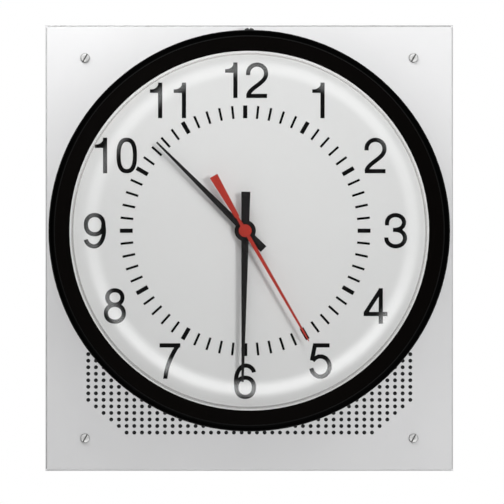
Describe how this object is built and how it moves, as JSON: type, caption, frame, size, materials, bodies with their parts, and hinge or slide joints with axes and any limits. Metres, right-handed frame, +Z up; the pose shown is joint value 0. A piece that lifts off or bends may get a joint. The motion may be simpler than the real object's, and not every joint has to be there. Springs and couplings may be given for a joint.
{
  "type": "wall clock with loudspeaker",
  "caption": "Round analog wall clock with a black bezel and domed lens, hung on a flat perforated loudspeaker faceplate with a network module behind it.",
  "frame": {"origin": "centre of the four wall screws, on the plane of the faceplate's rear rim, which is the wall plane", "axes": "+Z up the wall, +X to the viewer's right, -Y out of the wall towards the viewer, +Y into the wall box"},
  "size_m": [0.33, 0.0921, 0.361],
  "materials": {
    "powder_coat": "satin light grey powder coat",
    "zinc_steel": "bright zinc plate",
    "nickel_steel": "nickel plate",
    "black_cloth": "woven acoustic cloth",
    "grey_steel": "plain dark coat",
    "black_steel": "black coat",
    "foam": "closed-cell foam",
    "rubber": "matt rubber",
    "black_paper": "pressed paper pulp",
    "spider_cloth": "resin-dipped cloth",
    "ferrite": "sintered ferrite",
    "copper_winding": "enamelled copper",
    "tag_board": "paper laminate",
    "tray_steel": "galvanised sheet",
    "circuit_green": "solder mask",
    "jack_shield": "tinned shield",
    "chip_black": "moulded epoxy",
    "black_aluminium": "black anodised",
    "capacitor_sleeve": "sleeved can",
    "block_green": "moulded block",
    "lead_jacket": "soft jacket",
    "black_moulding": "black satin moulding",
    "clear_lens": "clear polycarbonate",
    "ring_plastic": "grey plastic",
    "dial_white": "matt white paint",
    "black_ink": "screen-printed ink",
    "movement_plastic": "moulded acetal",
    "brass": "turned brass",
    "stator_steel": "soft iron",
    "black_hand": "matt black paint",
    "red_hand": "red paint",
    "wheel_plastic": "moulded acetal",
    "rotor_magnet": "sintered magnet"
  },
  "bodies": {
    "faceplate_assembly": {"faceplate": "powder_coat", "plate_studs": "zinc_steel", "mounting_screws": "nickel_steel", "stud_nuts": "zinc_steel", "grille_cloth": "black_cloth", "speaker_baffle": "grey_steel", "speaker_gasket": "foam", "speaker_frame": "black_steel", "speaker_surround": "black_paper", "speaker_spider": "spider_cloth", "speaker_top_plate": "zinc_steel", "speaker_magnet": "ferrite", "speaker_yoke": "zinc_steel", "speaker_terminals": "tag_board", "module_tray": "tray_steel", "network_circuit_board": "circuit_green", "network_jack": "jack_shield", "board_chips": "chip_black", "amplifier_heat_sink": "black_aluminium", "capacitors": "capacitor_sleeve", "terminal_blocks": "block_green", "module_cover": "tray_steel", "module_screws": "zinc_steel", "speaker_lead": "lead_jacket", "clock_lead": "lead_jacket", "lead_grommet": "rubber", "mounting_strap": "zinc_steel", "lock_screw": "black_steel", "case_back": "black_moulding", "bezel": "black_moulding", "lens": "clear_lens", "dial_ring": "ring_plastic", "dial": "dial_white", "dial_numerals": "black_ink", "minute_marks": "black_ink", "movement_front_shell": "movement_plastic", "movement_back_shell": "movement_plastic", "movement_screws": "zinc_steel", "movement_gasket": "rubber", "movement_nut": "brass", "stators": "stator_steel", "motor_coils": "copper_winding", "movement_circuit_board": "circuit_green", "movement_socket": "movement_plastic"},
    "speaker_cone": {"speaker_cone": "black_paper", "speaker_dust_cap": "black_paper", "voice_coil": "copper_winding"},
    "second_hand": {"second_hand": "red_hand", "second_wheel": "brass"},
    "second_intermediate": {"second_intermediate": "wheel_plastic"},
    "second_rotor": {"second_rotor": "rotor_magnet"},
    "minute_hand": {"minute_hand": "black_hand", "minute_wheel": "brass"},
    "minute_intermediate": {"minute_intermediate": "wheel_plastic"},
    "minute_rotor": {"minute_rotor": "rotor_magnet"},
    "motion_wheel": {"motion_wheel": "wheel_plastic"},
    "hour_hand": {"hour_hand": "black_hand", "hour_wheel": "wheel_plastic"}
  },
  "joints": [
    {"name": "second_hand_turn", "type": "hinge", "parent": "faceplate_assembly", "child": "second_hand", "pos_m": [-0.0033, -0.0508, 0.014], "axis": [0, 1, 0], "continuous": true},
    {"name": "second_intermediate_turn", "type": "hinge", "parent": "faceplate_assembly", "child": "second_intermediate", "pos_m": [0.0117, -0.028, 0.014], "axis": [0, 1, 0], "continuous": true},
    {"name": "second_rotor_turn", "type": "hinge", "parent": "faceplate_assembly", "child": "second_rotor", "pos_m": [0.0185, -0.026, 0.00222], "axis": [0, 1, 0], "continuous": true},
    {"name": "minute_hand_turn", "type": "hinge", "parent": "faceplate_assembly", "child": "minute_hand", "pos_m": [-0.0033, -0.0483, 0.014], "axis": [0, 1, 0], "continuous": true},
    {"name": "minute_intermediate_turn", "type": "hinge", "parent": "faceplate_assembly", "child": "minute_intermediate", "pos_m": [-0.0177, -0.03, 0.014], "axis": [0, 1, 0], "continuous": true},
    {"name": "minute_rotor_turn", "type": "hinge", "parent": "faceplate_assembly", "child": "minute_rotor", "pos_m": [-0.0245, -0.03, 0.00222], "axis": [0, 1, 0], "continuous": true},
    {"name": "motion_wheel_turn", "type": "hinge", "parent": "faceplate_assembly", "child": "motion_wheel", "pos_m": [-0.0033, -0.034, 0.024], "axis": [0, 1, 0], "continuous": true},
    {"name": "hour_hand_turn", "type": "hinge", "parent": "faceplate_assembly", "child": "hour_hand", "pos_m": [-0.0033, -0.0458, 0.014], "axis": [0, 1, 0], "continuous": true},
    {"name": "cone_travel", "type": "slide", "parent": "faceplate_assembly", "child": "speaker_cone", "axis": [0, -1, 0], "range_m": [-0.002, 0.002], "stiffness_N_per_m": 900, "deforming": ["speaker_surround", "speaker_spider"]}
  ],
  "couplings": [
    {"joint": "second_intermediate_turn", "follows": "second_hand_turn", "ratio": -4},
    {"joint": "second_rotor_turn", "follows": "second_hand_turn", "ratio": 30},
    {"joint": "minute_intermediate_turn", "follows": "minute_hand_turn", "ratio": -8},
    {"joint": "minute_rotor_turn", "follows": "minute_hand_turn", "ratio": 60},
    {"joint": "motion_wheel_turn", "follows": "minute_hand_turn", "ratio": -0.33333},
    {"joint": "hour_hand_turn", "follows": "minute_hand_turn", "ratio": 0.083333}
  ]
}
